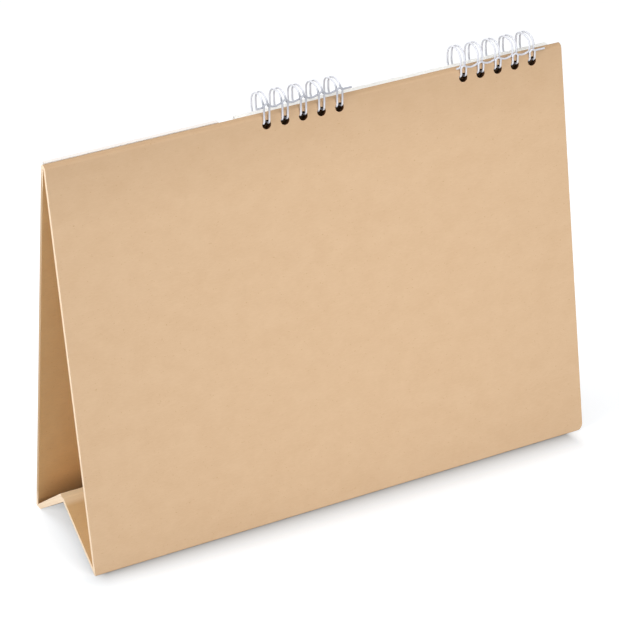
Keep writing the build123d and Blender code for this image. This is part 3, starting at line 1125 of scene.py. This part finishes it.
class DESKCAL_OT_calendar_print(bpy.types.Operator):
    """Print a plain month on the front sheet"""
    bl_idname = "deskcal.calendar_print"
    bl_label = "Calendar Print"

    def execute(self, context):
        settings = context.scene.desk_calendar.calendar
        top = top_up(calendar_high, CALENDAR_CLEARANCE + CALENDAR_THICKNESS)
        bottom = bottom_up(calendar_low, settings.clearance)
        pitch = CALENDAR_THICKNESS / settings.sheets
        out = settings.clearance + (settings.sheets - 1) * pitch + settings.sheet_thickness + INK_STANDOFF
        surface = on_leaf(calendar_low.x, calendar_high.x, bottom, top, out, settings.curl)
        left = calendar_low.x + PRINT_MARGIN
        right = calendar_high.x - PRINT_MARGIN
        field_top = top - HEADER_DROP
        field_bottom = field_top - HEADER_HEIGHT
        grid_top = field_bottom - GRID_DROP
        grid_bottom = bottom + GRID_FOOT
        cell_width = (right - left) / GRID_COLUMNS
        cell_height = (grid_top - grid_bottom) / GRID_ROWS

        field = new_piece(
            "printed_header",
            *strip_solid(surface, left, right, field_bottom, field_top, PRINT_STEP),
            [printed_ink("slate_ink", settings.field_colour)])

        rules = ([], [])
        rule_half = GRID_RULE_WIDTH / 2
        for row in range(GRID_ROWS + 1):
            up = grid_top - row * cell_height
            append_solid(*rules, strip_solid(
                surface, left, right, up - rule_half, up + rule_half, PRINT_STEP))
        # A plain bar over each column, where a printed calendar has the day's name
        mark_bottom = grid_top + COLUMN_MARK_RISE
        for column in range(GRID_COLUMNS):
            mark_left = left + column * cell_width + CELL_INDENT
            append_solid(*rules, strip_solid(
                surface, mark_left, mark_left + COLUMN_MARK_LENGTH, mark_bottom,
                mark_bottom + COLUMN_MARK_WIDTH, PRINT_STEP))
        rules = new_piece("printed_rules", *rules, [printed_ink("grey_ink", settings.rule_colour)])

        work_days = ([], [])
        rest_days = ([], [])
        for day in range(1, settings.days + 1):
            row, column = divmod(day - 1 + settings.first_column, GRID_COLUMNS)
            figures = number_solid(
                surface, str(day), FIGURE_SIZE, left + column * cell_width + CELL_INDENT,
                grid_top - row % GRID_ROWS * cell_height - FIGURE_DROP)
            append_solid(*(rest_days if column == GRID_COLUMNS - 1 else work_days), figures)
        work_days = new_piece(
            "printed_work_days", *work_days, [printed_ink("black_ink", settings.number_colour)])
        rest_days = new_piece(
            "printed_rest_days", *rest_days, [printed_ink("red_ink", settings.accent_colour)])
        for piece in (field, rules, work_days, rest_days):
            sharpen(piece)
            settle(piece, "calendar", "calendar_paper")
        return {"FINISHED"}


# The film of glue on the notes' top edge, and the print of the top leaf, measured down from it
GLUE_FILM_THICKNESS = 0.07 * MM
GLUE_FILM_INSET = 0.1 * MM
GLUE_FILM_SET_BACK = 0.05 * MM
NOTE_RULE_WIDTH = 0.24 * MM
NOTE_HEADER_TOP = 11 * MM
NOTE_HEADER_BOTTOM = 15 * MM
FIRST_NOTE_RULE = 24 * MM


class DESKCAL_OT_memo_block(bpy.types.Operator):
    """Make the glued block of note sheets"""
    bl_idname = "deskcal.memo_block"
    bl_label = "Note Block"

    def execute(self, context):
        settings = context.scene.desk_calendar.memo
        top = top_up(memo_high, MEMO_THICKNESS)
        bottom = bottom_up(memo_low, 0.0)
        left = memo_low.x
        right = memo_high.x

        points, flat = flat_sheet(left, right, bottom, top, LEAF_STEP)
        backing = new_piece(
            "note_backing",
            *thicken(points, flat, lambda p: on_front(p.x, p.y, 0.0),
                     lambda p: on_front(p.x, p.y, settings.backing_thickness)),
            [chipboard(settings)])

        draws = random.Random(9)
        pitch = (MEMO_THICKNESS - settings.backing_thickness) / settings.sheets
        leaves = ([], [])
        for leaf in range(settings.sheets):
            inset = draws.uniform(LEAF_INSET_LEAST, LEAF_INSET_MOST)
            end = draws.uniform(LEAF_INSET_LEAST, LEAF_INSET_MOST)
            curl = settings.curl * (leaf / (settings.sheets - 1)) ** 1.5
            place = on_leaf(left, right, bottom, top, settings.backing_thickness + leaf * pitch, curl)
            points, flat = flat_sheet(
                left + inset, right - inset, bottom + end, top - LEAF_TOP_GAP, LEAF_STEP)
            append_solid(*leaves, thicken(
                points, flat,
                lambda p: place(p.x, p.y, LEAF_GAP),
                lambda p: place(p.x, p.y, pitch * LEAF_SHARE)))
        paper = printing_paper("uncoated_note_paper", settings.paper_colour, 0.8, 0.3)
        leaves = new_piece("note_leaves", *leaves, [paper])

        points, flat = flat_sheet(
            left + GLUE_FILM_INSET, right - GLUE_FILM_INSET, 0.0, MEMO_THICKNESS - GLUE_FILM_SET_BACK,
            LEAF_STEP)
        film = new_piece(
            "glue_film",
            *thicken(points, flat, lambda p: on_front(p.x, top - GLUE_FILM_THICKNESS, p.y),
                     lambda p: on_front(p.x, top, p.y)),
            [padding_glue(settings)])

        top_leaf = settings.backing_thickness + (settings.sheets - 1 + LEAF_SHARE) * pitch
        surface = on_leaf(left, right, bottom, top, top_leaf + INK_STANDOFF, settings.curl)
        print_left = left + settings.margin
        print_right = right - settings.margin
        rules = ([], [])
        rule_half = NOTE_RULE_WIDTH / 2
        up = top - FIRST_NOTE_RULE
        while up > bottom + settings.margin:
            append_solid(*rules, strip_solid(
                surface, print_left, print_right, up - rule_half, up + rule_half, LEAF_STEP))
            up -= settings.rule_pitch
        calendar = context.scene.desk_calendar.calendar
        rules = new_piece("note_rules", *rules, [printed_ink("pale_rule_ink", calendar.rule_colour)])
        bar = new_piece(
            "note_header",
            *strip_solid(surface, print_left, print_right, top - NOTE_HEADER_BOTTOM,
                         top - NOTE_HEADER_TOP, LEAF_STEP),
            [printed_ink("pale_header_ink", calendar.field_colour)])
        for piece in (backing, leaves, film, rules, bar):
            sharpen(piece)
        settle(leaves, "easel", "note_paper", "memo_pad")
        for piece in (backing, film, rules, bar):
            settle(piece, "easel", "note_paper")
        return {"FINISHED"}


def softbox(name, location, aim, width, depth, power):
    """Adds a rectangular area lamp that points at a place, its width along the floor."""
    lamp = bpy.data.lights.new(name, "AREA")
    lamp.shape = "RECTANGLE"
    lamp.size = width
    lamp.size_y = depth
    lamp.energy = power
    holder = in_scene(name, lamp)
    holder.location = location
    holder.rotation_mode = "QUATERNION"
    holder.rotation_quaternion = (Vector(aim) - Vector(location)).to_track_quat("-Z", "Y")
    holder.visible_camera = False


# The floor's half width, the places and sizes of the lamps, and the points that they face
FLOOR_REACH = 6.0
OBJECT_MIDDLE = (-0.01, 0.0, 0.08)
UNDER_TOP = (0.15, 0.0, 0.0)
KEY_PLACE = (-0.08, 0.46, 0.2)
KEY_SIZE = (0.26, 0.22)
TOP_PLACE = (0.15, -0.2, 0.85)
TOP_SIZE = (1.1, 0.12)
FILL_PLACE = (1.0, 0.2, 0.42)
FILL_SIZE = (0.4, 0.4)


class DESKCAL_OT_stage(bpy.types.Operator):
    """Set the white sweep, the lamps and the camera"""
    bl_idname = "deskcal.stage"
    bl_label = "Stage"

    def execute(self, context):
        settings = context.scene.desk_calendar.stage
        corners = [(x * FLOOR_REACH, y * FLOOR_REACH, 0) for x, y in ((-1, -1), (1, -1), (1, 1), (-1, 1))]
        floor = new_piece("floor", corners, [(0, 1, 2, 3)], [white_sweep(settings)], smooth=False)

        world = bpy.data.worlds.new("studio")
        world.use_nodes = True
        context.scene.world = world
        tree = world.node_tree
        connect(tree, tree.nodes["Background"], {
            "Color": (1, 1, 1, 1),
            "Strength": node(tree, "ShaderNodeMapRange", (
                camera_sees(tree), 0.0, 1.0, settings.world_level, 1.0))})

        softbox("key_softbox", KEY_PLACE, OBJECT_MIDDLE, *KEY_SIZE, settings.key_power)
        softbox("top_softbox", TOP_PLACE, UNDER_TOP, *TOP_SIZE, settings.top_power)
        softbox("fill_softbox", FILL_PLACE, OBJECT_MIDDLE, *FILL_SIZE, settings.fill_power)

        level_share = math.cos(settings.elevation)
        back = Vector((
            math.sin(settings.azimuth) * level_share,
            -math.cos(settings.azimuth) * level_share,
            math.sin(settings.elevation)))
        data = bpy.data.cameras.new("camera")
        data.lens = settings.lens
        data.sensor_width = 36
        data.clip_start = 0.05
        data.clip_end = 20
        camera = in_scene("camera", data)
        camera.location = Vector(settings.target) + back * settings.distance
        camera.rotation_mode = "QUATERNION"
        camera.rotation_quaternion = (-back).to_track_quat("-Z", "Y") @ Quaternion((0, 0, 1), settings.roll)
        context.scene.camera = camera
        context.scene.view_settings.view_transform = "Standard"
        return {"FINISHED"}


PIECE_OPERATORS = (
    DESKCAL_OT_board,
    DESKCAL_OT_wires,
    DESKCAL_OT_calendar_sheets,
    DESKCAL_OT_calendar_print,
    DESKCAL_OT_memo_block,
    DESKCAL_OT_stage,
)


class DESKCAL_PT_panel(bpy.types.Panel):
    """The desk calendar's pieces and settings"""
    bl_idname = "DESKCAL_PT_panel"
    bl_label = "Desk Calendar"
    bl_space_type = "VIEW_3D"
    bl_region_type = "UI"
    bl_category = "Desk Calendar"

    def draw(self, context):
        layout = self.layout
        settings = context.scene.desk_calendar
        for operator in PIECE_OPERATORS:
            layout.operator(operator.bl_idname)
        for group_name in ("board", "wires", "calendar", "memo", "stage"):
            box = layout.box()
            box.label(text=group_name.capitalize())
            group = getattr(settings, group_name)
            for name in group.bl_rna.properties.keys():
                if name not in ("rna_type", "name"):
                    box.prop(group, name)


CLASSES = (
    BoardSettings,
    WireSettings,
    CalendarSettings,
    MemoSettings,
    StageSettings,
    DeskCalendarSettings,
    *PIECE_OPERATORS,
    DESKCAL_PT_panel,
)


def register():
    """Adds the settings, operators and panel to Blender."""
    for made in CLASSES:
        bpy.utils.register_class(made)
    bpy.types.Scene.desk_calendar = PointerProperty(type=DeskCalendarSettings)


def unregister():
    """Takes the settings, operators and panel out of Blender."""
    del bpy.types.Scene.desk_calendar
    for made in reversed(CLASSES):
        bpy.utils.unregister_class(made)


def main():
    register()
    bpy.ops.deskcal.board()
    bpy.ops.deskcal.wires()
    bpy.ops.deskcal.calendar_sheets()
    bpy.ops.deskcal.calendar_print()
    bpy.ops.deskcal.memo_block()
    bpy.ops.deskcal.stage()


if __name__ == "__main__":
    main()
